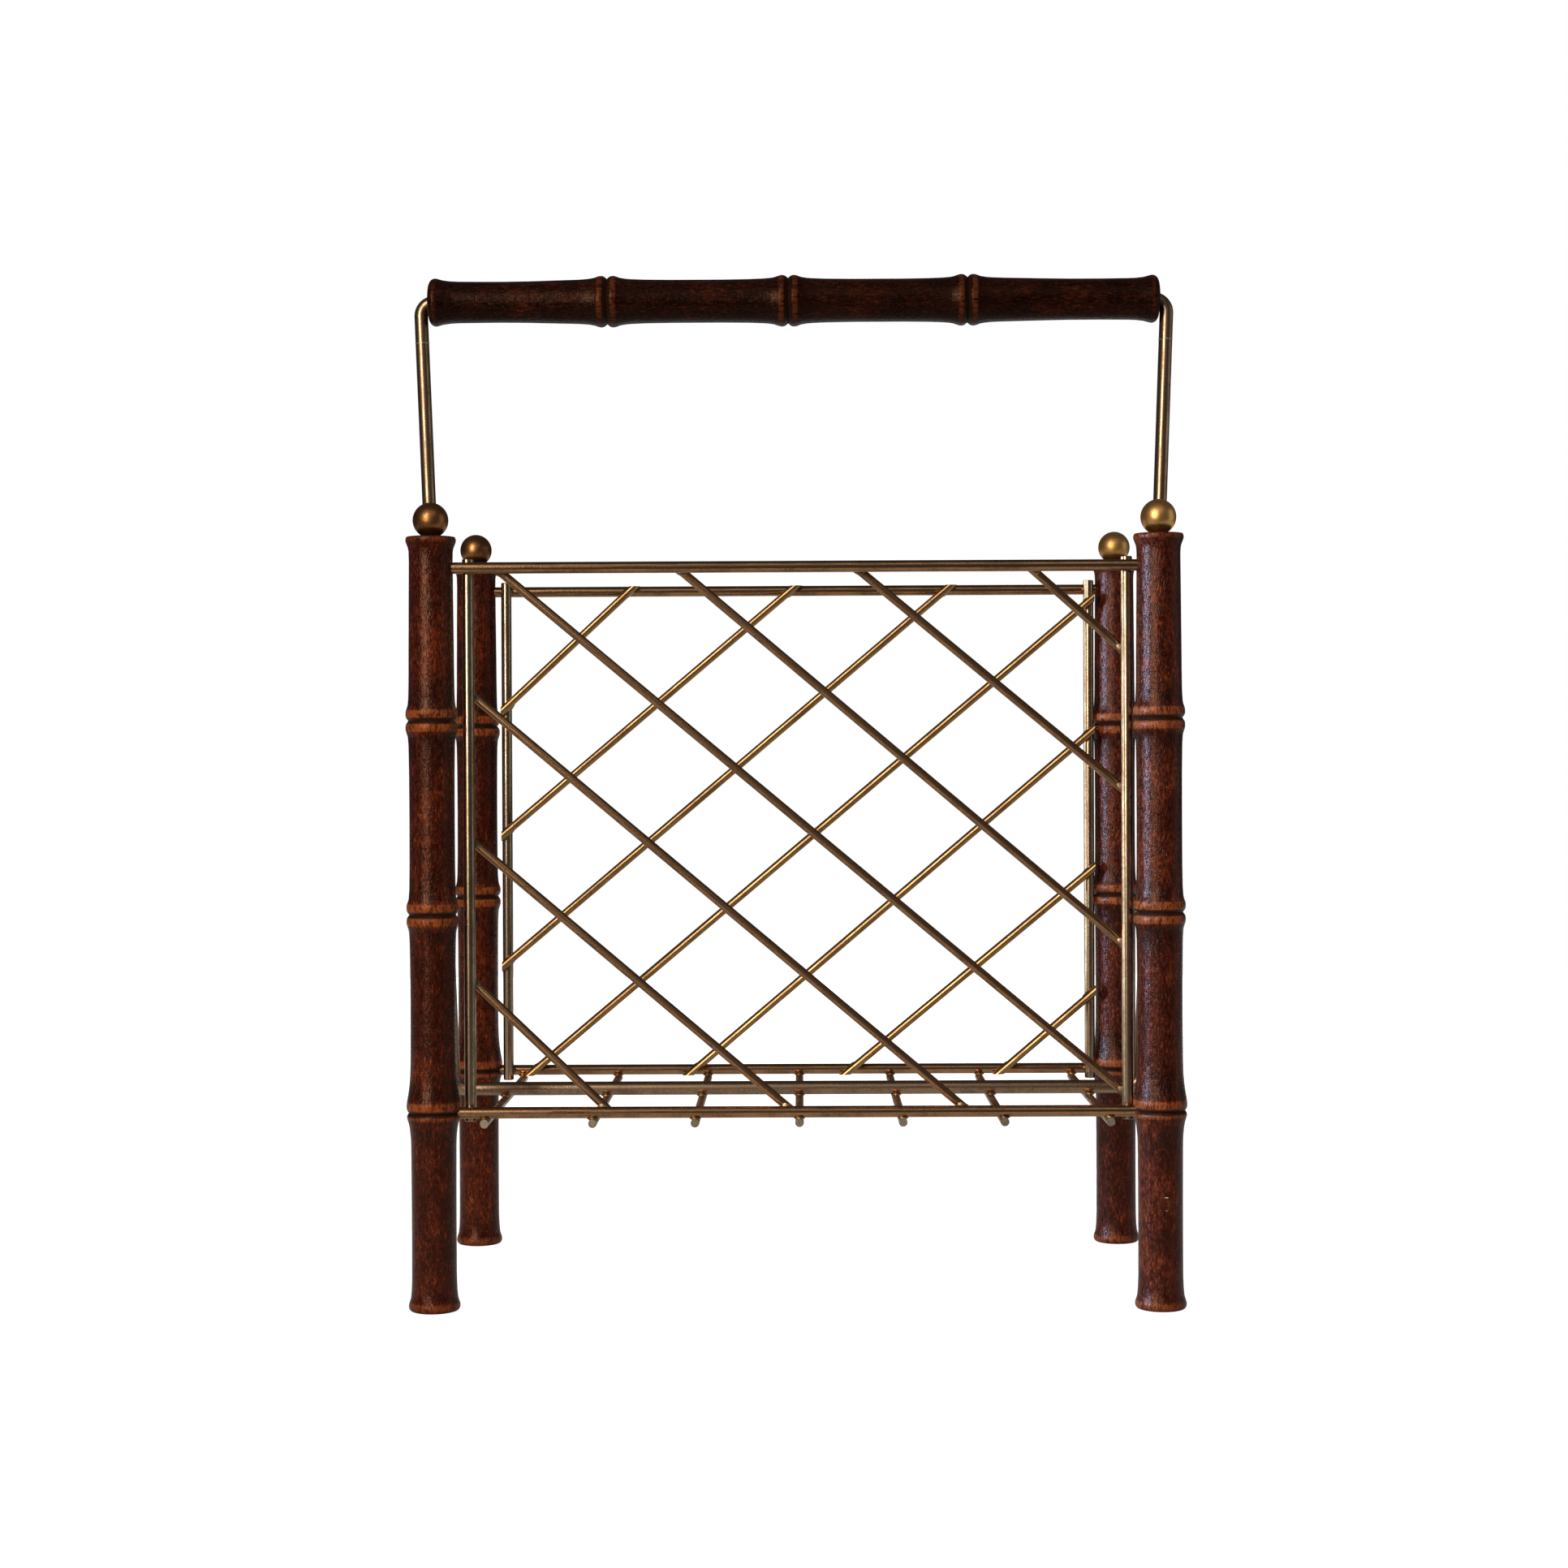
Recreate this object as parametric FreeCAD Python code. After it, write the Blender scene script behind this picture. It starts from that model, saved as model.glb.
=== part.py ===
import FreeCAD, Part
import math
import os

# Magazine rack: four turned posts in the shape of bamboo, a brass rod panel at
# the front and at the back, a base of brass cross rods, and a brass carrying
# handle with a turned wooden grip. Millimetres, Z up, the front towards -Y,
# the feet on Z = 0 and the middle of the rack on X = Y = 0.

V = FreeCAD.Vector

# Posts
post_x = 188.0
post_y = 94.0
post_height = 400.0
low_ring_z = 102.4
mid_ring_z = 204.8
high_ring_z = 305.0
ring_groove_radius = 12.0
swelling_groove_radius = 12.6
cap_edge_radius = 12.5

# Turned shapes of a post beside its grooves: (distance from the groove, radius)
ring_shape = (
    (0.9, 12.65), (1.9, 13.2), (3.4, 13.4), (4.9, 13.3), (6.4, 12.8),
    (7.9, 12.35), (9.6, 12.1), (12.5, 11.93), (18.0, 11.8), (30.0, 11.7),
)
swelling_shape = (
    (0.9, 13.4), (2.4, 13.9), (4.2, 13.9), (6.3, 13.6), (8.8, 13.15),
    (11.4, 12.75), (15.1, 12.3), (21.0, 11.92), (30.0, 11.77), (42.0, 11.7),
)
lip_shape = (
    (0.9, 13.4), (2.2, 13.75), (3.6, 13.45), (5.0, 13.0), (6.6, 12.6),
    (8.8, 12.25), (12.6, 11.87), (20.0, 11.68), (36.0, 11.58),
)
# Foot and cap: (height, radius)
foot_shape = (
    (0.0, 12.1), (0.9, 13.0), (2.6, 13.3), (4.1, 12.95), (5.8, 12.35),
    (8.0, 12.0), (12.0, 11.72), (20.0, 11.56), (42.0, 11.52),
)
cap_shape = (
    (352.0, 11.55), (372.0, 11.4), (387.0, 11.25), (391.6, 11.3), (394.0, 11.6),
    (396.0, 12.3), (397.6, 12.9), (398.8, 12.95), (post_height, cap_edge_radius),
)

# Rods of the two panels
rail_radius = 3.0
top_rail_z = 384.0
bottom_rail_z = 102.0
rail_end_x = 184.0
left_upright_x = -169.6
right_upright_x = 172.1
upright_radius = 3.0
upright_overrun = 2.0
diagonal_radius = 2.25
trim_margin = 0.2
braze_gap = 0.01
rod_end_chamfer = 0.3

# Where the diagonals of the front panel cross the axes of its other rods:
# (X on the top rail, Z on the right upright), (X on the bottom rail, Z on the left upright)
top_to_right = ((-154.8, 109.3), (-60.7, 186.5), (31.5, 267.3), (121.5, 339.7))
bottom_to_left = ((88.5, 319.7), (-2.5, 243.2), (-97.2, 170.2))

# Rods of the base
cross_rod_radius = 2.25
cross_rod_x = (-161.5, -105.5, -52.5, 1.5, 55.0, 107.5, 162.0)
cross_rod_overhang = 0.4

# Handle
handle_radius = 3.75
handle_bend = 7.5
grip_axis_z = 538.0
arm_top_x = 206.2
arm_slope = 0.0372
seam_z = 515.4
spigot_radius = 2.0
spigot_length = 12.0

# Grip
grip_half_length = 201.4
grip_rings_x = (-103.0, -3.0, 96.0)
grip_groove_radius = 12.4
grip_waist_radius = 11.7
grip_bore_radius = handle_radius + 0.1
grip_mouth_radius = 6.0
grip_mouth_depth = 6.0
# (distance from the groove, radius) and (distance from the end, radius)
grip_ring_shape = (
    (0.9, 13.2), (2.0, 13.85), (3.4, 14.05), (4.9, 13.8), (6.3, 13.25),
    (8.2, 12.75), (10.8, 12.4), (15.0, 12.12), (24.0, 11.86),
)
grip_end_shape = (
    (0.0, 9.2), (0.8, 11.6), (1.8, 12.6), (3.4, 13.1), (5.0, 12.85), (6.8, 12.3),
    (9.2, 11.85), (12.5, 11.5), (18.0, 11.32), (32.0, 11.2), (48.0, 11.22),
)

# Ball finials and the studs that hold them
ball_radius = 9.2
ball_centre_z = post_height + 8.7
stud_radius = 2.0
stud_in_ball = 7.0
stud_in_post = 16.0
stud_chamfer = 0.4
glue_gap = 0.05


def going_up(shape, groove):
    return [(groove + away, radius) for away, radius in shape]


def going_down(shape, groove):
    return [(groove - away, radius) for away, radius in reversed(shape)]


def turned_solid(runs):
    """Turn a half profile around Z. Each run is a straight or smooth line of (height, radius)."""
    edges = []
    for run in runs:
        points = [V(radius, 0, height) for height, radius in run]
        if len(points) == 2:
            edges.append(Part.makeLine(points[0], points[1]))
        else:
            curve = Part.BSplineCurve()
            curve.interpolate(points)
            edges.append(curve.toShape())
    top = V(0, 0, runs[-1][-1][0])
    bottom = V(0, 0, runs[0][0][0])
    edges.append(Part.makeLine(top, bottom))
    face = Part.Face(Part.Wire(edges))
    return face.revolve(V(0, 0, 0), V(0, 0, 1), 360)


def rod(start, end, radius):
    way = end.sub(start)
    return Part.makeCylinder(radius, way.Length, start, way)


def end_edges(solid):
    return [edge for edge in solid.Edges if edge.Curve.TypeId == "Part::GeomCircle"]


def softened_rod(start, end, radius):
    """A straight rod whose cut ends have a slight chamfer."""
    straight = rod(start, end, radius)
    return straight.makeChamfer(rod_end_chamfer, end_edges(straight))


def bent_rod(corners, radius, bend):
    """A round rod that follows the corners in straight runs, with equal bends between them."""
    edges = []
    start = corners[0]
    for before, corner, after in zip(corners, corners[1:], corners[2:]):
        back = before.sub(corner).normalize()
        onward = after.sub(corner).normalize()
        half_angle = back.getAngle(onward) / 2
        reach = bend / math.tan(half_angle)
        depth = bend / math.sin(half_angle) - bend
        first = corner + back * reach
        last = corner + onward * reach
        middle = corner + (back + onward).normalize() * depth
        edges.append(Part.makeLine(start, first))
        edges.append(Part.Arc(first, middle, last).toShape())
        start = last
    edges.append(Part.makeLine(start, corners[-1]))
    section = Part.Wire([Part.makeCircle(radius, corners[0], corners[1] - corners[0])])
    return Part.Wire(edges).makePipeShell([section], True, False)


def make_post(side):
    """A post for the left (-1) or right (1) side, drilled for its ball stud and two rails."""
    low_groove = (low_ring_z, swelling_groove_radius)
    mid_groove = (mid_ring_z, ring_groove_radius)
    high_groove = (high_ring_z, ring_groove_radius)
    low_part = list(foot_shape) + going_down(lip_shape, low_ring_z) + [low_groove]
    second_part = [low_groove] + going_up(swelling_shape, low_ring_z)
    second_part += going_down(ring_shape, mid_ring_z) + [mid_groove]
    third_part = [mid_groove] + going_up(ring_shape, mid_ring_z)
    third_part += going_down(ring_shape, high_ring_z) + [high_groove]
    top_part = [high_groove] + going_up(ring_shape, high_ring_z) + list(cap_shape)
    underside = [(0.0, 0.0), foot_shape[0]]
    cap_top = [cap_shape[-1], (post_height, 0.0)]
    post = turned_solid([underside, low_part, second_part, third_part, top_part, cap_top])

    stud_floor = V(0, 0, post_height - stud_in_post - 1)
    holes = [rod(stud_floor, V(0, 0, post_height + 1), stud_radius + glue_gap)]
    for height in (top_rail_z, bottom_rail_z):
        outside = V(-side * 20.0, 0, height)
        hole_floor = V(-side * (post_x - rail_end_x - 0.3), 0, height)
        holes.append(rod(outside, hole_floor, rail_radius + glue_gap))
    return post.cut(holes)


def make_ball():
    """A ball with a small flat seat and a blind hole for its stud."""
    ball = Part.makeSphere(ball_radius, V(0, 0, ball_centre_z))
    below_seat = Part.makeBox(40, 40, 20, V(-20, -20, post_height - 20))
    hole_roof = V(0, 0, post_height + stud_in_ball + 0.5)
    hole = rod(V(0, 0, post_height - 1), hole_roof, stud_radius + glue_gap)
    return ball.cut([below_seat, hole])


def make_stud():
    low = V(0, 0, post_height - stud_in_post)
    high = V(0, 0, post_height + stud_in_ball)
    stud = rod(low, high, stud_radius)
    return stud.makeChamfer(stud_chamfer, end_edges(stud))


def make_diagonal(on_rail, on_upright):
    """A front diagonal that lies inside a rail at one end and inside an upright at the other."""
    upright_y = -post_y + rail_radius + upright_radius + braze_gap
    depth_change = 2 * upright_radius
    run = abs(on_upright[0] - on_rail[0])
    rise = abs(on_upright[1] - on_rail[1])
    touch = diagonal_radius + rail_radius + braze_gap
    rail_reach = touch * math.hypot(1, depth_change / rise)
    upright_reach = touch * math.hypot(1, depth_change / run)
    start = V(on_rail[0], -post_y + rail_reach, on_rail[1])
    end = V(on_upright[0], upright_y + upright_reach, on_upright[1])
    extra = (end - start).normalize() * 12.0
    left = left_upright_x - upright_radius + trim_margin
    right = right_upright_x + upright_radius - trim_margin
    low = bottom_rail_z - rail_radius + trim_margin
    high = top_rail_z + rail_radius - trim_margin
    trim = Part.makeBox(right - left, 60, high - low, V(left, -post_y - 20, low))
    return rod(start - extra, end + extra, diagonal_radius).common(trim)


def make_front_panel():
    """The rods of the front panel, by name."""
    pieces = {}
    for name, height in (("top_rail", top_rail_z), ("bottom_rail", bottom_rail_z)):
        left = V(-rail_end_x, -post_y, height)
        right = V(rail_end_x, -post_y, height)
        pieces[name] = softened_rod(left, right, rail_radius)
    upright_y = -post_y + rail_radius + upright_radius + braze_gap
    for name, x in (("left_upright", left_upright_x), ("right_upright", right_upright_x)):
        low = V(x, upright_y, bottom_rail_z - rail_radius - upright_overrun)
        high = V(x, upright_y, top_rail_z + rail_radius + upright_overrun)
        pieces[name] = softened_rod(low, high, upright_radius)
    crossings = [((x, top_rail_z), (right_upright_x, z)) for x, z in top_to_right]
    crossings += [((x, bottom_rail_z), (left_upright_x, z)) for x, z in bottom_to_left]
    for number, (on_rail, on_upright) in enumerate(crossings, 1):
        pieces["diagonal_%d" % number] = make_diagonal(on_rail, on_upright)
    return pieces


def arm_x(height):
    return arm_top_x - arm_slope * (grip_axis_z - height)


def arm_point(side, height):
    return V(side * arm_x(height), 0, height)


def make_handle_frame():
    """The lower handle rod: the bar on the base and both arms up to the seams."""
    bar_z = bottom_rail_z - rail_radius + handle_radius
    corners = [
        arm_point(-1, seam_z), arm_point(-1, bar_z), arm_point(1, bar_z), arm_point(1, seam_z)]
    frame = bent_rod(corners, handle_radius, handle_bend)
    sockets = []
    for side in (-1, 1):
        deep = arm_point(side, seam_z - spigot_length - 0.5)
        sockets.append(rod(deep, arm_point(side, seam_z + 1), spigot_radius + glue_gap))
    return frame.cut(sockets)


def make_handle_bow():
    """The upper handle rod, which runs through the grip and ends in a spigot on each side."""
    corners = [
        arm_point(-1, seam_z), arm_point(-1, grip_axis_z),
        arm_point(1, grip_axis_z), arm_point(1, seam_z)]
    spigots = []
    for side in (-1, 1):
        tip = arm_point(side, seam_z - spigot_length)
        spigots.append(rod(arm_point(side, seam_z + 1), tip, spigot_radius))
    return bent_rod(corners, handle_radius, handle_bend).fuse(spigots).removeSplitter()


def make_grip():
    """The turned grip: three ring pairs, flared ends and a bore with open mouths."""
    end = grip_half_length
    left_groove, middle_groove, right_groove = [(x, grip_groove_radius) for x in grip_rings_x]
    runs = [
        [(-end, 0.0), (-end, grip_end_shape[0][1])],
        going_up(grip_end_shape, -end) + going_down(grip_ring_shape, left_groove[0])
        + [left_groove],
    ]
    for low, high in ((left_groove, middle_groove), (middle_groove, right_groove)):
        waist = [((low[0] + high[0]) / 2, grip_waist_radius)]
        rise = going_down(grip_ring_shape, high[0])
        runs.append([low] + going_up(grip_ring_shape, low[0]) + waist + rise + [high])
    runs.append(
        [right_groove] + going_up(grip_ring_shape, right_groove[0])
        + going_down(grip_end_shape, end))
    runs.append([(end, grip_end_shape[0][1]), (end, 0.0)])

    cuts = [rod(V(0, 0, -end - 1), V(0, 0, end + 1), grip_bore_radius)]
    for side in (-1, 1):
        deep = V(0, 0, side * (end - grip_mouth_depth))
        cuts.append(Part.makeCone(
            grip_bore_radius, grip_mouth_radius, grip_mouth_depth, deep, V(0, 0, side)))
    grip = turned_solid(runs).cut(cuts)
    grip.rotate(V(0, 0, 0), V(0, 1, 0), 90)
    grip.translate(V(0, 0, grip_axis_z))
    return grip


nodes = {}

# The four posts with their balls and studs
studs = []
for depth_name, side_y in (("front", -1), ("back", 1)):
    for side_name, side_x in (("left", -1), ("right", 1)):
        place = V(side_x * post_x, side_y * post_y, 0)
        post = make_post(side_x)
        ball = make_ball()
        stud = make_stud()
        for piece in (post, ball, stud):
            piece.translate(place)
        nodes["post_%s_%s" % (depth_name, side_name)] = post
        nodes["ball_%s_%s" % (depth_name, side_name)] = ball
        studs.append(stud)
nodes["ball_studs"] = Part.makeCompound(studs)

# The back panel is the front panel turned over about the long way of the rack
half_way_up = V(0, 0, (top_rail_z + bottom_rail_z) / 2)
changed_names = {"top_rail": "bottom_rail", "bottom_rail": "top_rail"}
for name, piece in make_front_panel().items():
    nodes["front_" + name] = piece
    turned_over = piece.copy()
    turned_over.rotate(half_way_up, V(1, 0, 0), 180)
    nodes["back_" + changed_names.get(name, name)] = turned_over

# The base
cross_rod_z = bottom_rail_z - rail_radius - cross_rod_radius - braze_gap
cross_rod_reach = post_y + rail_radius + cross_rod_overhang
for number, x in enumerate(cross_rod_x, 1):
    front_end = V(x, -cross_rod_reach, cross_rod_z)
    back_end = V(x, cross_rod_reach, cross_rod_z)
    nodes["base_cross_rod_%d" % number] = softened_rod(front_end, back_end, cross_rod_radius)

# The handle
nodes["handle_frame"] = make_handle_frame()
nodes["handle_bow"] = make_handle_bow()
nodes["handle_grip"] = make_grip()

os.makedirs("parts", exist_ok=True)
for name, shape in nodes.items():
    shape.exportStep("parts/%s.step" % name)
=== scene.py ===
import math
import bpy
from mathutils import Matrix, Vector


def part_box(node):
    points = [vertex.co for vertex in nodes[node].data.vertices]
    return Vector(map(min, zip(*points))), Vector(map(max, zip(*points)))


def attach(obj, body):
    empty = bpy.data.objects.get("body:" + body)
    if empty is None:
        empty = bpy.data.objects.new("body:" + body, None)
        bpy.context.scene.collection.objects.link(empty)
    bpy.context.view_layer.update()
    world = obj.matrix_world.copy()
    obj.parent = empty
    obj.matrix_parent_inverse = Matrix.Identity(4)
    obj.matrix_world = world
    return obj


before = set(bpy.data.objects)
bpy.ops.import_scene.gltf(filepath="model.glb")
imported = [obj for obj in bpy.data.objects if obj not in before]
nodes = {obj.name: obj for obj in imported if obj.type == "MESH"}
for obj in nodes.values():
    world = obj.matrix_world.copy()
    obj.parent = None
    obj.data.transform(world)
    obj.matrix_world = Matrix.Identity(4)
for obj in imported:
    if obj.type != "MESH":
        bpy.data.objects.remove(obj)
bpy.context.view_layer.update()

bpy.ops.object.select_all(action="DESELECT")


# ---------------------------------------------------------------- corner posts
# Four posts of close-grained hardwood, turned to look like bamboo, stained
# mahogany red and lacquered. Stain lies dark beside the rings; grooves hold dirt
# and painted shade. Crests, rims and feet are worn orange brown, with painted
# highlight on them.

POST_LINE = (0.188, 0.094)                     # x and y of the post's centre line
POST_RINGS = (0.1024, 0.2048, 0.305)           # heights of the ring grooves
POST_CREST = (-0.001, 0.0, 0.0050, 0.0064)     # from a groove: wear and painted highlight start, full, thin, end
POST_SWELLING = (0.085, 0.114, 0.0007)         # lowest, highest, and how much it stands out
POST_WEAR_AND_HIGHLIGHT_FROM, POST_SHINE = 0.0125, 0.36      # radius where wear and painted highlight start, strength of gloss
# colour of worn crests, rims and feet, lightened as a painted highlight
POST_WEAR_AND_HIGHLIGHT = (0.34, 0.084, 0.021)
POST_TONES = ((0.465, (0.025, 0.0036, 0.0014)), (0.525, (0.044, 0.0062, 0.0024)),
              (0.56, (0.063, 0.0090, 0.0034)), (0.595, (0.095, 0.0150, 0.0054)),
              (0.645, (0.165, 0.030, 0.0085)), (0.70, (0.27, 0.064, 0.016)))
POST_CHIPS = (((0.1897, -0.1055, 0.0587), 0.0006),     # place and size of each
              ((0.1895, -0.1055, 0.0520), 0.0003))

FLECK, PORE, MOTTLE = 0.0011, 0.0007, 0.0036   # sizes of the marks in the grain
PATCH, CLOUD, TOOL_LINE = 0.016, 0.06, 0.0012  # sizes of blotches, and of the lathe's lines
STAIN_IN, STAIN_FULL, STAIN_THIN, STAIN_OUT = 0.0062, 0.0085, 0.010, 0.026  # from a groove
GROOVE_FLOOR, GROOVE_EDGE = 0.0011, 0.0021     # half widths of a groove
RIM_STARTS, RIM_FULL = 0.018, 0.026            # least distance of rims and feet from a ring
WEAR_AND_HIGHLIGHT_EDGE, SWELL_EDGE = 0.0007, 0.012          # how softly wear with painted highlight, and the swelling, begin
YEAR_WANDER, YEARS = 0.004, 4200.0             # unevenness and closeness of the year rings
OVERALL_DARKER = 0.025                         # taken off the whole run of tones
GATHERED_STAIN, OPEN_PORE = (0.012, 0.0035, 0.0024), (0.016, 0.004, 0.0025)
# the grooves' colour is dirt and painted shade
GROOVE_DIRT_AND_SHADE, BARE_CHIP = (0.016, 0.0055, 0.0032), (0.60, 0.52, 0.46)
LATE_YEAR, EARLY_YEAR = (0.016, 0.005, 0.003), (0.05, 0.015, 0.007)
LACQUER_TINT = (1.0, 0.56, 0.40, 1)


def put(tree, kind, inputs=None, **options):
    """Add a shader node, set its options, and fill or link its inputs."""
    made = tree.nodes.new("ShaderNode" + kind)
    for option, value in options.items():
        setattr(made, option, value)
    for socket, value in (inputs or {}).items():
        if isinstance(value, bpy.types.NodeSocket):
            tree.links.new(value, made.inputs[socket])
        else:
            made.inputs[socket].default_value = value
    return made


def maths(tree, operation, first, second=0.0):
    return put(tree, "Math", {0: first, 1: second}, operation=operation).outputs[0]


def weigh(tree, *pairs):
    """The sum of values, each times its weight."""
    total = None
    for value, weight in pairs:
        part = maths(tree, "MULTIPLY", value, weight)
        total = part if total is None else maths(tree, "ADD", total, part)
    return total


def fade(tree, value, start, end, low=0.0, high=1.0):
    """A smooth change from low to high as value goes from start to end."""
    return put(tree, "MapRange", {0: value, 1: start, 2: end, 3: low, 4: high},
               interpolation_type="SMOOTHSTEP").outputs[0]


def cloudy(tree, vector, size, detail=3.0, roughness=0.55):
    """Noise whose largest blotches are about size metres across."""
    return put(tree, "TexNoise", {"Vector": vector, "Scale": 1 / size, "Detail": detail,
                                  "Roughness": roughness}).outputs["Fac"]


def blend(tree, amount, first, second):
    """A colour that goes from first to second as amount goes from 0 to 1."""
    mixed = put(tree, "Mix", data_type="RGBA")
    for socket, value in ((0, amount), (6, first), (7, second)):
        if isinstance(value, bpy.types.NodeSocket):
            tree.links.new(value, mixed.inputs[socket])
        elif isinstance(value, tuple):
            mixed.inputs[socket].default_value = (*value, 1)
        else:
            mixed.inputs[socket].default_value = value
    return mixed.outputs[2]


def turned_wood(name, axis, line, rings, tones, wear_and_highlight_tone, wear_and_highlight_from, crest, shine,
                swelling=None, chips=()):
    """Mahogany stain and old lacquer on a turning whose grain runs along axis.

    line is the turning's centre line across that axis, and rings are the places
    of the ring grooves along it.
    """
    material = bpy.data.materials.new(name)
    material.use_nodes = True
    tree = material.node_tree
    shader = tree.nodes["Principled BSDF"]
    coordinates = put(tree, "TexCoord")
    place = coordinates.outputs["Object"]
    x, y, z = put(tree, "SeparateXYZ", {0: place}).outputs
    if axis == "Z":
        along, stretch = z, (1, 1, 0.36)
        across = (maths(tree, "SUBTRACT", maths(tree, "ABSOLUTE", x), line[0]),
                  maths(tree, "SUBTRACT", maths(tree, "ABSOLUTE", y), line[1]))
    else:
        along, stretch = x, (0.30, 1, 1)
        across = (maths(tree, "SUBTRACT", y, line[0]), maths(tree, "SUBTRACT", z, line[1]))
    radius = maths(tree, "SQRT",
                   maths(tree, "ADD", maths(tree, "MULTIPLY", across[0], across[0]),
                         maths(tree, "MULTIPLY", across[1], across[1])))
    away = None
    for ring in rings:
        distance = maths(tree, "ABSOLUTE", maths(tree, "SUBTRACT", along, ring))
        away = distance if away is None else maths(tree, "MINIMUM", away, distance)

    grain = put(tree, "Mapping", {"Vector": place, "Scale": stretch}).outputs[0]
    flecks = cloudy(tree, grain, FLECK, 2.0, 0.65)
    pores = cloudy(tree, grain, PORE, 1.0, 0.5)
    mottle = cloudy(tree, grain, MOTTLE, 5.0, 0.66)
    patches = cloudy(tree, place, PATCH, 4.0, 0.6)
    clouds = cloudy(tree, place, CLOUD, 2.0)
    turning = cloudy(tree, put(tree, "CombineXYZ", {0: along}).outputs[0], TOOL_LINE, 3.0, 0.7)
    shade = weigh(tree, (flecks, 0.44), (mottle, 0.28), (patches, 0.26), (clouds, 0.12),
                  (turning, 0.06))
    shade = maths(tree, "SUBTRACT", shade, OVERALL_DARKER)
    ramp = put(tree, "ValToRGB", {0: shade})
    for number, (stop, tone) in enumerate(tones):
        if number > 1:
            ramp.color_ramp.elements.new(stop)
        ramp.color_ramp.elements[number].position = stop
        ramp.color_ramp.elements[number].color = (*tone, 1)
    colour = ramp.outputs[0]

    # stain gathered beside the rings
    band = maths(tree, "MULTIPLY", fade(tree, away, STAIN_IN, STAIN_FULL),
                 fade(tree, away, STAIN_THIN, STAIN_OUT, 1, 0))
    band = maths(tree, "MULTIPLY", band, fade(tree, mottle, 0.36, 0.62, 0.85, 0.30))
    colour = blend(tree, band, colour, GATHERED_STAIN)
    # open pores, as short dark dashes
    dash = maths(tree, "MULTIPLY", fade(tree, pores, 0.57, 0.66), 0.6)
    colour = blend(tree, dash, colour, OPEN_PORE)
    # ring crests, rims and feet worn to orange brown and lightened as painted highlight, but
    # not the swelling
    raised = radius
    if swelling:
        low, high, extra = swelling
        inside = maths(tree, "MULTIPLY", fade(tree, along, low - SWELL_EDGE, low),
                       fade(tree, along, high, high + SWELL_EDGE, 1, 0))
        raised = maths(tree, "SUBTRACT", radius, maths(tree, "MULTIPLY", inside, extra))
    on_crest = maths(tree, "MULTIPLY", fade(tree, away, *crest[:2]),
                     fade(tree, away, *crest[2:], 1, 0))
    crests_and_rims = maths(tree, "ADD", on_crest, fade(tree, away, RIM_STARTS, RIM_FULL, 0.0, 0.6))
    wear_and_highlight = maths(tree, "MULTIPLY", fade(tree, raised, wear_and_highlight_from, wear_and_highlight_from + WEAR_AND_HIGHLIGHT_EDGE), crests_and_rims)
    patchiness = weigh(tree, (flecks, 0.6), (mottle, 0.4))
    wear_and_highlight = maths(tree, "MULTIPLY", wear_and_highlight, fade(tree, patchiness, 0.38, 0.56, 0.12, 0.95))
    colour = blend(tree, wear_and_highlight, colour, wear_and_highlight_tone)
    # grooves darkened with dirt and painted shade
    groove = fade(tree, away, GROOVE_FLOOR, GROOVE_EDGE, 1, 0)
    colour = blend(tree, maths(tree, "MULTIPLY", groove, 0.9), colour, GROOVE_DIRT_AND_SHADE)
    # chips where a knock took off lacquer and stain
    for spot, size in chips:
        off = put(tree, "VectorMath", {0: place, 1: spot}, operation="SUBTRACT").outputs[0]
        off = put(tree, "VectorMath", {0: off, 1: (0.5, 1.0, 1.5)},
                  operation="MULTIPLY").outputs[0]
        far = put(tree, "VectorMath", {0: off}, operation="LENGTH").outputs["Value"]
        colour = blend(tree, fade(tree, far, size * 0.7, size, 1, 0), colour, BARE_CHIP)
    # end grain drinks more stain and shows its year rings
    normal = put(tree, "SeparateXYZ", {0: coordinates.outputs["Normal"]})
    end = fade(tree, maths(tree, "ABSOLUTE", normal.outputs["XYZ".index(axis)]), 0.93, 0.99)
    wander = maths(tree, "ADD", radius, maths(tree, "MULTIPLY", patches, YEAR_WANDER))
    years = maths(tree, "SINE", maths(tree, "MULTIPLY", wander, YEARS))
    end_tone = blend(tree, fade(tree, years, -1, 1), LATE_YEAR, EARLY_YEAR)
    colour = blend(tree, end, colour, end_tone)
    tree.links.new(colour, shader.inputs["Base Color"])

    rough = weigh(tree, (fade(tree, flecks, 0.35, 0.65, 0.19, 0.29), 1.0), (groove, 0.15),
                  (wear_and_highlight, 0.03))
    tree.links.new(rough, shader.inputs["Roughness"])
    height = weigh(tree, (flecks, 1.0), (mottle, 0.5), (dash, -0.6), (turning, 0.35))
    bump = put(tree, "Bump", {"Strength": 0.9, "Distance": 0.0003, "Height": height})
    tree.links.new(bump.outputs[0], shader.inputs["Normal"])
    shader.inputs["Specular IOR Level"].default_value = shine
    shader.inputs["Specular Tint"].default_value = LACQUER_TINT
    return material


post_wood = turned_wood("post_mahogany", "Z", POST_LINE, POST_RINGS, POST_TONES, POST_WEAR_AND_HIGHLIGHT,
                        POST_WEAR_AND_HIGHLIGHT_FROM, POST_CREST, POST_SHINE, POST_SWELLING, POST_CHIPS)
for side in ("front_left", "front_right", "back_left", "back_right"):
    nodes["post_" + side].material_slots[0].material = post_wood


# ---------------------------------------------------------------- brass balls
# A turned brass ball sits on a hidden stud on top of each post. Most of the
# lacquer has gone and the brass has dulled to bronze, with small pits; the two
# left balls are browner and darker, as tarnish and painted shade.

TARNISH, SPECK, DRAWN_LINE = 0.022, 0.0012, 0.0007    # sizes of the brass's marks
PIT_SPACING = 520.0                                   # cells to the metre; a few hold a pit
PIT_DIRT = (0.035, 0.022, 0.014)


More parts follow.
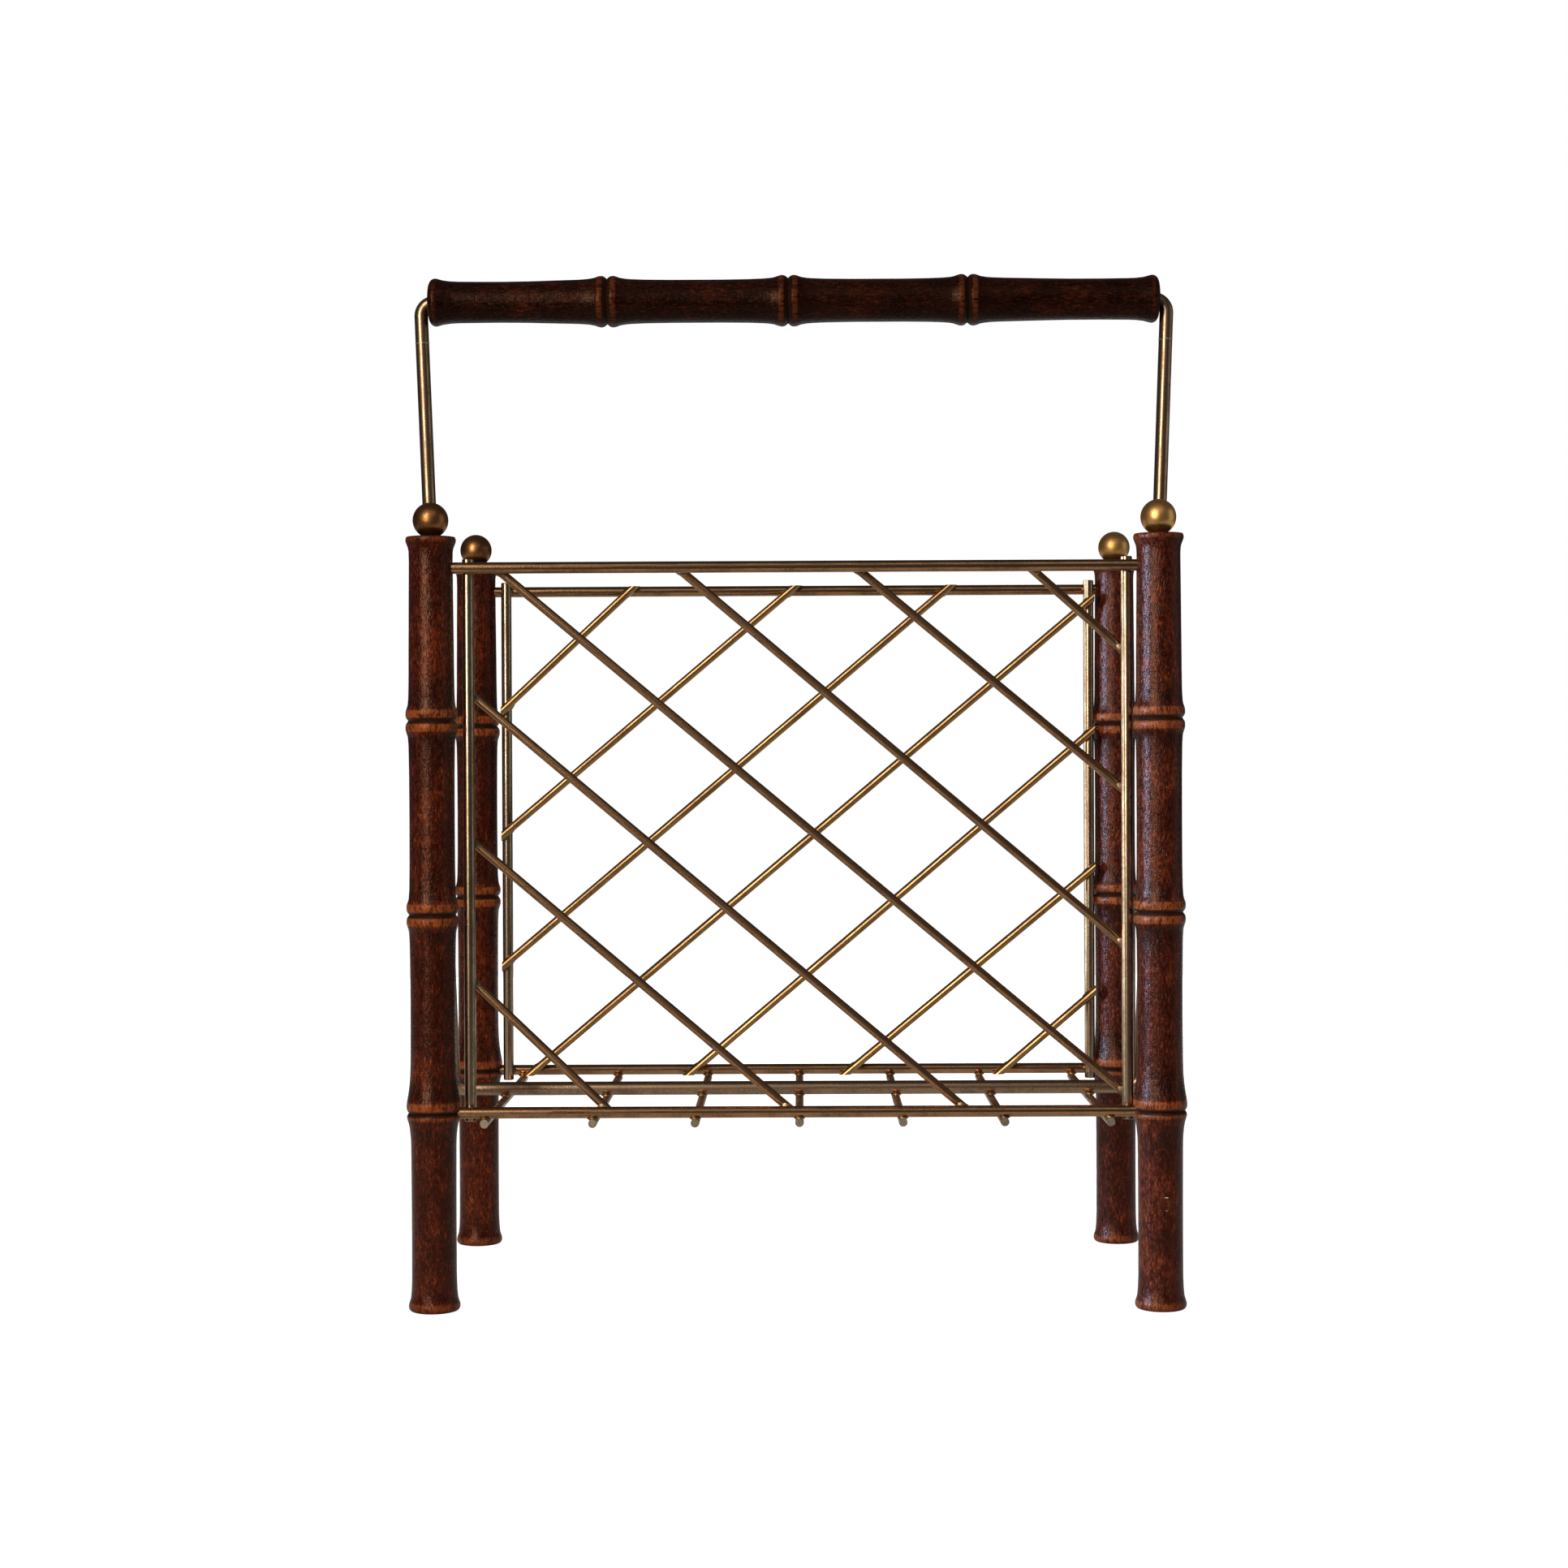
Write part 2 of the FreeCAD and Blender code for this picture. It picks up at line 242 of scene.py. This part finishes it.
def old_brass(name, bright, dull, cover, rough, draw=None, relief=0.3, lacquer=0.0):
    """Brass under brown tarnish.

    cover is where on the noise the tarnish starts and is full, rough the gloss
    of bright and of dull metal, and draw turns and stretches the drawing lines.
    """
    material = bpy.data.materials.new(name)
    material.use_nodes = True
    tree = material.node_tree
    shader = tree.nodes["Principled BSDF"]
    place = put(tree, "TexCoord").outputs["Object"]
    tarnish = cloudy(tree, place, TARNISH, 6.0, 0.66)
    specks = cloudy(tree, place, SPECK, 3.0, 0.6)
    dots = put(tree, "TexVoronoi", {"Vector": place, "Scale": PIT_SPACING})
    chance = put(tree, "SeparateColor", {0: dots.outputs["Color"]}).outputs[0]
    pit = maths(tree, "MULTIPLY", fade(tree, dots.outputs["Distance"], 0.08, 0.20, 1, 0),
                fade(tree, chance, 0.86, 0.92))
    shade = weigh(tree, (tarnish, 0.68), (specks, 0.32))
    height = weigh(tree, (specks, 0.35), (pit, -1.0))
    if draw:
        turned, stretched = draw
        line = put(tree, "Mapping", {"Vector": place, "Rotation": turned}).outputs[0]
        line = put(tree, "Mapping", {"Vector": line, "Scale": stretched}).outputs[0]
        drawn = cloudy(tree, line, DRAWN_LINE, 4.0, 0.62)
        shade = weigh(tree, (shade, 0.72), (drawn, 0.28))
        height = weigh(tree, (height, 0.8), (drawn, 0.7))
    amount = fade(tree, shade, *cover)
    colour = blend(tree, amount, bright, dull)
    colour = blend(tree, maths(tree, "MULTIPLY", pit, 0.85), colour, PIT_DIRT)
    tree.links.new(colour, shader.inputs["Base Color"])
    shader.inputs["Metallic"].default_value = 1.0
    dullness = weigh(tree, (fade(tree, shade, 0.40, 0.62, *rough), 1.0), (pit, 0.3))
    tree.links.new(dullness, shader.inputs["Roughness"])
    shader.inputs["Coat Weight"].default_value = lacquer
    shader.inputs["Coat Roughness"].default_value = 0.16
    bump = put(tree, "Bump", {"Strength": relief, "Distance": 0.0002, "Height": height})
    tree.links.new(bump.outputs[0], shader.inputs["Normal"])
    return material


ball_gold = old_brass("ball_brass_golden", (0.96, 0.56, 0.19), (0.66, 0.36, 0.115),
                      (0.44, 0.60), (0.35, 0.45), lacquer=0.2)
# the left balls' browner, darker brass is tarnish and painted shade
ball_shaded_brown = old_brass("ball_brass_brown_shaded", (0.40, 0.185, 0.066), (0.17, 0.080, 0.032),
                       (0.42, 0.58), (0.34, 0.46))
for depth in ("front", "back"):
    nodes["ball_%s_left" % depth].material_slots[0].material = ball_shaded_brown
    nodes["ball_%s_right" % depth].material_slots[0].material = ball_gold
stud_steel = old_brass("stud_steel", (0.32, 0.30, 0.28), (0.14, 0.12, 0.10), (0.42, 0.6),
                       (0.35, 0.5))
nodes["ball_studs"].material_slots[0].material = stud_steel


# ---------------------------------------------------------------- side panels
# Each panel is a frame of two rails and two uprights of drawn brass rod, with
# seven thinner slanting rods brazed across its inner side. The rails run into
# holes in the posts. All of it has gone brown, with fine drawing lines.

ROD_BRIGHT, ROD_DULL = (0.54, 0.30, 0.150), (0.26, 0.145, 0.078)
SLANT = math.radians(40.2)
COVER = (0.42, 0.60)
LINES_ALONG_X, LINES_ALONG_Y, LINES_ALONG_Z = (0.03, 1, 1), (1, 0.03, 1), (1, 1, 0.03)
NO_TURN = (0, 0, 0)

rail_brass = old_brass("rail_brass", ROD_BRIGHT, ROD_DULL, COVER, (0.14, 0.28),
                       (NO_TURN, LINES_ALONG_X), 0.2)
upright_brass = old_brass("upright_brass", (0.60, 0.47, 0.32), (0.30, 0.22, 0.145), COVER,
                          (0.19, 0.27), (NO_TURN, LINES_ALONG_Z), 0.06)
front_slant_brass = old_brass("front_slant_brass", ROD_BRIGHT, ROD_DULL, COVER,
                              (0.20, 0.36), ((0, -SLANT, 0), LINES_ALONG_X), 0.15)
back_slant_brass = old_brass("back_slant_brass", (0.50, 0.30, 0.125), (0.28, 0.165, 0.072),
                             (0.44, 0.62), (0.26, 0.38), ((0, SLANT, 0), LINES_ALONG_X), 0.12)
for panel, slant_brass in (("front", front_slant_brass), ("back", back_slant_brass)):
    for piece in ("top_rail", "bottom_rail"):
        nodes[panel + "_" + piece].material_slots[0].material = rail_brass
    for piece in ("left_upright", "right_upright"):
        nodes[panel + "_" + piece].material_slots[0].material = upright_brass
    for number in range(1, 8):
        nodes[panel + "_diagonal_%d" % number].material_slots[0].material = slant_brass


# ---------------------------------------------------------------- brazing
# Where rods cross, a little brass was melted in between them. Each bead of
# braze is a small uneven pad that fills the crevice and runs along the rod.

RUN_ON_RAIL, RUN_ON_UPRIGHT = 0.0068, 0.0053    # from a slanting rod's end to the crossing
SLANT_BEAD, CORNER_BEAD = (0.0048, 0.0013, 0.0027), (0.0034, 0.0013, 0.0031)
BASE_BEAD = (0.0030, 0.0034, 0.0011)
BEAD_ALONG, BEAD_ASIDE = 0.0014, 0.0012         # from the crossing towards the rod's middle

braze_brass = old_brass("braze_brass", (0.44, 0.31, 0.175), (0.19, 0.125, 0.075),
                        (0.42, 0.58), (0.30, 0.48))

bpy.ops.mesh.primitive_ico_sphere_add(subdivisions=3, radius=1)
pattern = bpy.context.object
pattern.name = "braze_pattern"
bpy.ops.object.mode_set(mode="EDIT")
bpy.ops.mesh.select_all(action="SELECT")
bpy.ops.transform.vertex_random(offset=0.16, uniform=0.0, normal=0.8, seed=7)
bpy.ops.mesh.vertices_smooth(factor=0.5, repeat=2)
bpy.ops.object.mode_set(mode="OBJECT")
bpy.ops.object.shade_smooth()
pattern.data.materials.append(braze_brass)


def centre(name):
    """The middle of a CAD node's box."""
    low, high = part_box(name)
    return [(low[i] + high[i]) / 2 for i in range(3)]


def copies(pattern, name, spots):
    """Copy a pattern to each spot (place, size, turn), join the copies, and ride the rack."""
    made = []
    for place, size, angles in spots:
        bpy.ops.object.select_all(action="DESELECT")
        pattern.select_set(True)
        bpy.context.view_layer.objects.active = pattern
        bpy.ops.object.duplicate(linked=False)
        copy = bpy.context.object
        copy.location, copy.scale, copy.rotation_euler = place, size, angles
        bpy.ops.object.transform_apply(location=True, rotation=True, scale=True)
        made.append(copy)
    bpy.ops.object.select_all(action="DESELECT")
    for copy in made:
        copy.select_set(True)
    bpy.context.view_layer.objects.active = made[0]
    bpy.ops.object.join()
    piece = bpy.context.object
    piece.name = name
    bpy.ops.object.select_all(action="DESELECT")
    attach(piece, "rack")


rail_z = [centre("front_" + rail)[2] for rail in ("bottom_rail", "top_rail")]
upright_x = [centre("front_" + upright)[0] for upright in ("left_upright", "right_upright")]
for panel, inward in (("front", 1), ("back", -1)):
    rail_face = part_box(panel + "_top_rail")[inward > 0][1]
    upright_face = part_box(panel + "_left_upright")[inward > 0][1]
    spots = []
    for number in range(1, 8):
        low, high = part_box(panel + "_diagonal_%d" % number)
        to_right = high[0] > upright_x[1]
        on_top = high[2] > rail_z[1]
        lean = -SLANT if to_right != on_top else SLANT
        crossing_x = low[0] + RUN_ON_RAIL if to_right else high[0] - RUN_ON_RAIL
        crossing_z = low[2] + RUN_ON_UPRIGHT if on_top else high[2] - RUN_ON_UPRIGHT
        across, down = (1 if to_right else -1), (1 if on_top else -1)
        spots.append(((crossing_x + BEAD_ALONG * across, rail_face,
                       rail_z[on_top] - BEAD_ASIDE * down), SLANT_BEAD, (0, lean, 0)))
        spots.append(((upright_x[to_right] - BEAD_ALONG * across, upright_face,
                       crossing_z + BEAD_ASIDE * down), SLANT_BEAD, (0, lean, 0)))
    for x in upright_x:
        for z in rail_z:
            spots.append(((x, rail_face, z), CORNER_BEAD, NO_TURN))
    copies(pattern, panel + "_brazing", spots)

spots = []
for number in range(1, 8):
    cross_rod = "base_cross_rod_%d" % number
    for over in ("front_bottom_rail", "back_bottom_rail", "handle_frame"):
        spots.append(((centre(cross_rod)[0], centre(over)[1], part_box(cross_rod)[1][2]),
                      BASE_BEAD, NO_TURN))
copies(pattern, "base_brazing", spots)
bpy.data.objects.remove(pattern)


# ---------------------------------------------------------------- rail sockets
# The rails' ends go into holes in the posts. A dark ring round each rod where
# it enters is a painted shadow.

SHADOW_RING_RADIUS, SHADOW_RING_THICKNESS = 0.0034, 0.0008
INSIDE_POSTS = 0.16                             # x of a point on each rail, clear of the posts

# a near-black ring that stands for the shadow where each rail enters its hole
socket_shadow = old_brass("socket_painted_shadow", (0.20, 0.12, 0.07), (0.05, 0.028, 0.018), (0.42, 0.58),
                  (0.40, 0.55))
bpy.ops.mesh.primitive_torus_add(major_radius=SHADOW_RING_RADIUS, minor_radius=SHADOW_RING_THICKNESS,
                                 major_segments=40, minor_segments=10,
                                 rotation=(0, math.pi / 2, 0))
pattern = bpy.context.object
bpy.ops.object.mode_set(mode="EDIT")
bpy.ops.mesh.select_all(action="SELECT")
bpy.ops.transform.vertex_random(offset=0.0004, uniform=0.0, normal=0.6, seed=4)
bpy.ops.mesh.vertices_smooth(factor=0.5, repeat=1)
bpy.ops.object.mode_set(mode="OBJECT")
bpy.ops.object.shade_smooth()
pattern.data.materials.append(socket_shadow)
spots = []
# no two shadow rings are turned the same way round, nor two sawn ends below
for panel in ("front", "back"):
    for rail in ("top_rail", "bottom_rail"):
        y, z = centre(panel + "_" + rail)[1:]
        for side, sign in (("left", -1), ("right", 1)):
            post = nodes["post_%s_%s" % (panel, side)]
            start = Vector((INSIDE_POSTS * sign, y, z))
            place = post.ray_cast(start, Vector((sign, 0, 0)))[1]
            spots.append((place, (1, 1, 1), (sign * 0.7 + y * 9, 0, 0)))
copies(pattern, "rail_socket_shadow_rings", spots)
bpy.data.objects.remove(pattern)


# ---------------------------------------------------------------- base rods
# Seven short rods run from front to back under the bottom rails, brazed where
# they cross, and make the floor of the rack. The saw left each rod's end bright
# and a little burred.

END_RADIUS, END_THICKNESS, BURR = 0.00222, 0.0004, 0.00012
CUT_RIM, CUT_DISH = 0.0003, 0.0008              # widths of the rolled edge and the hollow
SAW_MARKS = ((0, 0.6, 0), (1, 1, 0.06))         # their turn and their stretch

cross_brass = old_brass("cross_rod_brass", ROD_BRIGHT, ROD_DULL, COVER, (0.22, 0.38),
                        (NO_TURN, LINES_ALONG_Y))
for number in range(1, 8):
    nodes["base_cross_rod_%d" % number].material_slots[0].material = cross_brass

saw_brass = old_brass("saw_cut_brass", (0.72, 0.62, 0.48), (0.34, 0.26, 0.18), (0.42, 0.58),
                      (0.25, 0.45), SAW_MARKS, 0.8)
bpy.ops.mesh.primitive_cylinder_add(vertices=32, radius=END_RADIUS, depth=END_THICKNESS,
                                    rotation=(math.pi / 2, 0, 0))
pattern = bpy.context.object
bpy.ops.object.transform_apply(location=True, rotation=True, scale=True)
for polygon in pattern.data.polygons:
    polygon.select = polygon.normal.y < -0.9
bpy.ops.object.mode_set(mode="EDIT")
bpy.ops.mesh.select_mode(type="FACE")
bpy.ops.mesh.inset(thickness=CUT_RIM)
bpy.ops.transform.translate(value=(0, -BURR, 0))
bpy.ops.mesh.inset(thickness=CUT_DISH)
bpy.ops.transform.translate(value=(0.0001, 0.00008, 0))
bpy.ops.object.mode_set(mode="OBJECT")
# the burr is on the side where the saw came out
for vertex in pattern.data.vertices:
    vertex.select = vertex.co.z < -0.0012 and vertex.co.y < 0
for polygon in pattern.data.polygons:
    polygon.select = False
bpy.ops.object.mode_set(mode="EDIT")
bpy.ops.mesh.select_mode(type="VERT")
bpy.ops.transform.vertex_random(offset=BURR, uniform=0.0, normal=0.0, seed=2)
bpy.ops.object.mode_set(mode="OBJECT")
bpy.ops.object.shade_smooth_by_angle(angle=math.radians(35))
pattern.data.materials.append(saw_brass)
spots = []
for number in range(1, 8):
    cross_rod = "base_cross_rod_%d" % number
    front_y, back_y = (corner[1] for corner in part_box(cross_rod))
    x, z = centre(cross_rod)[::2]
    spots.append(((x, front_y, z), (1, 1, 1), (0, number * 0.9, 0)))
    spots.append(((x, back_y, z), (1, 1, 1), (0, number * 1.3, math.pi)))
copies(pattern, "cross_rod_cut_ends", spots)
bpy.data.objects.remove(pattern)


# ---------------------------------------------------------------- handle rod
# A bent brass rod lies on the base rods and rises at both ends. A little below
# the grip it is joined on each side to a second rod, the bow, which passes
# through the grip. A thin ring of braze shows at each joint.

ARM_RADIUS, ARM_LEAN = 0.00375, math.radians(2.13)
SEAM_SUNK, SEAM_THICKNESS = 0.00012, 0.00028

arm_brass = old_brass("arm_brass", (0.46, 0.31, 0.195), (0.25, 0.17, 0.115), COVER,
                      (0.25, 0.38), (NO_TURN, LINES_ALONG_Z), 0.15)
for name in ("handle_frame", "handle_bow"):
    nodes[name].material_slots[0].material = arm_brass

bpy.ops.mesh.primitive_torus_add(major_radius=ARM_RADIUS - SEAM_SUNK,
                                 minor_radius=SEAM_THICKNESS,
                                 major_segments=48, minor_segments=10)
pattern = bpy.context.object
bpy.ops.object.mode_set(mode="EDIT")
bpy.ops.mesh.select_all(action="SELECT")
bpy.ops.transform.resize(value=(1, 1, 1.6))
bpy.ops.transform.vertex_random(offset=0.00006, uniform=0.0, normal=0.5, seed=5)
bpy.ops.object.mode_set(mode="OBJECT")
bpy.ops.object.shade_smooth()
pattern.data.materials.append(saw_brass)
low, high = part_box("handle_frame")
copies(pattern, "arm_seams",
       [((low[0] + ARM_RADIUS, 0, high[2]), (1, 1, 1), (0, -ARM_LEAN, 0)),
        ((high[0] - ARM_RADIUS, 0, high[2]), (1, 1, 1), (0, ARM_LEAN, 2.0))])
bpy.data.objects.remove(pattern)


# ---------------------------------------------------------------- grip
# The turned wooden grip, bored through so that it turns on the rod. It has the
# same bamboo rings as the posts, and years of hands have made it nearly black.

GRIP_LINE = (0.0, 0.538)                        # y and z of the grip's centre line
GRIP_RINGS = (-0.103, -0.003, 0.096)            # places of the ring grooves along x
GRIP_CREST = (0.0018, 0.0030, 0.0046, 0.0058)
# the grip's ring crests are worn and lightened as a painted highlight
GRIP_WEAR_AND_HIGHLIGHT_FROM, GRIP_SHINE = 0.0127, 0.17
GRIP_WEAR_AND_HIGHLIGHT = (0.12, 0.028, 0.009)
GRIP_TONES = ((0.465, (0.005, 0.0013, 0.0008)), (0.525, (0.009, 0.0022, 0.0013)),
              (0.56, (0.013, 0.0030, 0.0016)), (0.60, (0.024, 0.0050, 0.0022)),
              (0.65, (0.046, 0.0088, 0.0032)), (0.72, (0.095, 0.023, 0.008)))

grip_wood = turned_wood("grip_mahogany", "X", GRIP_LINE, GRIP_RINGS, GRIP_TONES, GRIP_WEAR_AND_HIGHLIGHT,
                        GRIP_WEAR_AND_HIGHLIGHT_FROM, GRIP_CREST, GRIP_SHINE)
nodes["handle_grip"].material_slots[0].material = grip_wood


# ---------------------------------------------------------------- studio
# A plain pale table top in a dim room. A tall warm window stands at the left in
# front, with soft light from high in front, above, behind and the right, a cool
# light for the right posts alone and a plain one for the right uprights alone.

TABLE_SIZE, TABLE_MIDDLE = (3.2, 2.6, 1), (0, 0.70, 0)
TABLE_GREY = (0.34, 0.34, 0.34, 1)
SEEN_GLOW, MIRRORED_GLOW = 0.94, 0.17           # of the table, to the camera and in gloss
ROOM_GLOW, SEEN_ROOM_GLOW = 0.06, 1.0           # of the room, on things and to the camera
NEARLY_WHITE, WARM, COOL = (1, 0.97, 0.93), (1.0, 0.84, 0.68), (0.33, 0.55, 1.0)

bpy.ops.mesh.primitive_plane_add(size=1, location=(0, 0, 0))
floor = bpy.context.object
floor.name = "studio_floor"
bpy.ops.transform.resize(value=TABLE_SIZE)
bpy.ops.transform.translate(value=TABLE_MIDDLE)
bpy.ops.object.transform_apply(location=True, rotation=True, scale=True)
floor_paint = bpy.data.materials.new("floor_paint")
floor_paint.use_nodes = True
tree = floor_paint.node_tree
shader = tree.nodes["Principled BSDF"]
shader.inputs["Base Color"].default_value = TABLE_GREY
shader.inputs["Roughness"].default_value = 0.9
shader.inputs["Specular IOR Level"].default_value = 0.0
shader.inputs["Emission Color"].default_value = (1, 1, 1, 1)
rays = put(tree, "LightPath")
glow = weigh(tree, (rays.outputs["Is Camera Ray"], SEEN_GLOW),
             (rays.outputs["Is Glossy Ray"], MIRRORED_GLOW))
tree.links.new(glow, shader.inputs["Emission Strength"])
floor.data.materials.append(floor_paint)

world = bpy.data.worlds.new("studio")
bpy.context.scene.world = world
world.use_nodes = True
tree = world.node_tree
background = tree.nodes["Background"]
background.inputs["Color"].default_value = (1.0, 1.0, 1.0, 1)
seen = put(tree, "LightPath").outputs["Is Camera Ray"]
tree.links.new(fade(tree, seen, 0.0, 1.0, ROOM_GLOW, SEEN_ROOM_GLOW),
               background.inputs["Strength"])


def soft_light(name, place, target, width, height, glow, colour, mirrored=True, only=()):
    """A rectangular light that looks as bright as glow, turned to its target.

    It shows in reflections if mirrored, and reaches everything, or only some nodes.
    """
    bpy.ops.object.light_add(type="AREA", location=place)
    light = bpy.context.object
    light.name = name
    light.data.shape = "RECTANGLE"
    light.data.size = width
    light.data.size_y = height
    light.data.energy = glow * math.pi * width * height
    light.data.color = colour
    light.rotation_euler = (Vector(target) - Vector(place)).to_track_quat("-Z", "Y").to_euler()
    light.visible_camera = False
    light.visible_glossy = mirrored
    if only:
        reached = bpy.data.collections.new(name + "_reaches")
        for node in only:
            reached.objects.link(nodes[node])
        light.light_linking.receiver_collection = reached


soft_light("warm_window", (-0.95, -1.78, 0.95), (0, 0, 0.35), 0.70, 1.5, 9.6, WARM)
soft_light("high_front", (0.0, -1.3, 1.6), (0, 0, 0.2), 1.8, 1.1, 0.35, NEARLY_WHITE)
soft_light("overhead", (0.0, 0.6, 2.2), (0, 0.6, 0), 2.8, 2.6, 0.28, (1, 1, 1),
           mirrored=False)
soft_light("back_wall", (0.3, 1.9, 0.8), (0, 0, 0.25), 2.4, 1.4, 3.6, NEARLY_WHITE,
           mirrored=False)
soft_light("right_wall", (1.6, -0.2, 0.6), (0, 0, 0.3), 1.0, 1.2, 0.38, NEARLY_WHITE)
soft_light("cool_window", (-1.3, -0.50, 0.42), (0.188, 0, 0.30), 0.16, 0.5, 135.0, COOL,
           only=("post_front_right", "post_back_right"))
soft_light("side_window", (-1.4, 0.1, 0.30), (0.17, 0, 0.25), 1.8, 0.9, 3.0, (1, 0.97, 0.94),
           only=("front_right_upright", "back_right_upright"))


# ---------------------------------------------------------------- camera
# A normal lens on a stand in front of the rack, level with its middle, turned,
# tipped and rolled a very little. Turns are in degrees.

CAMERA_PLACE = (0.0021, -1.428, 0.2819)
CAMERA_TURN, CAMERA_TIP, CAMERA_ROLL = 0.34, 90 - 0.44, -0.25

bpy.ops.object.camera_add()
camera = bpy.context.object
camera.data.sensor_width = 36
camera.data.lens = 59.24
camera.data.clip_end = 50
turn = Matrix.Rotation(math.radians(CAMERA_TURN), 4, "Z")
tip = Matrix.Rotation(math.radians(CAMERA_TIP), 4, "X")
roll = Matrix.Rotation(math.radians(CAMERA_ROLL), 4, "Z")
camera.matrix_world = Matrix.Translation(CAMERA_PLACE) @ turn @ tip @ roll
bpy.context.scene.camera = camera
bpy.context.scene.view_settings.view_transform = "Standard"
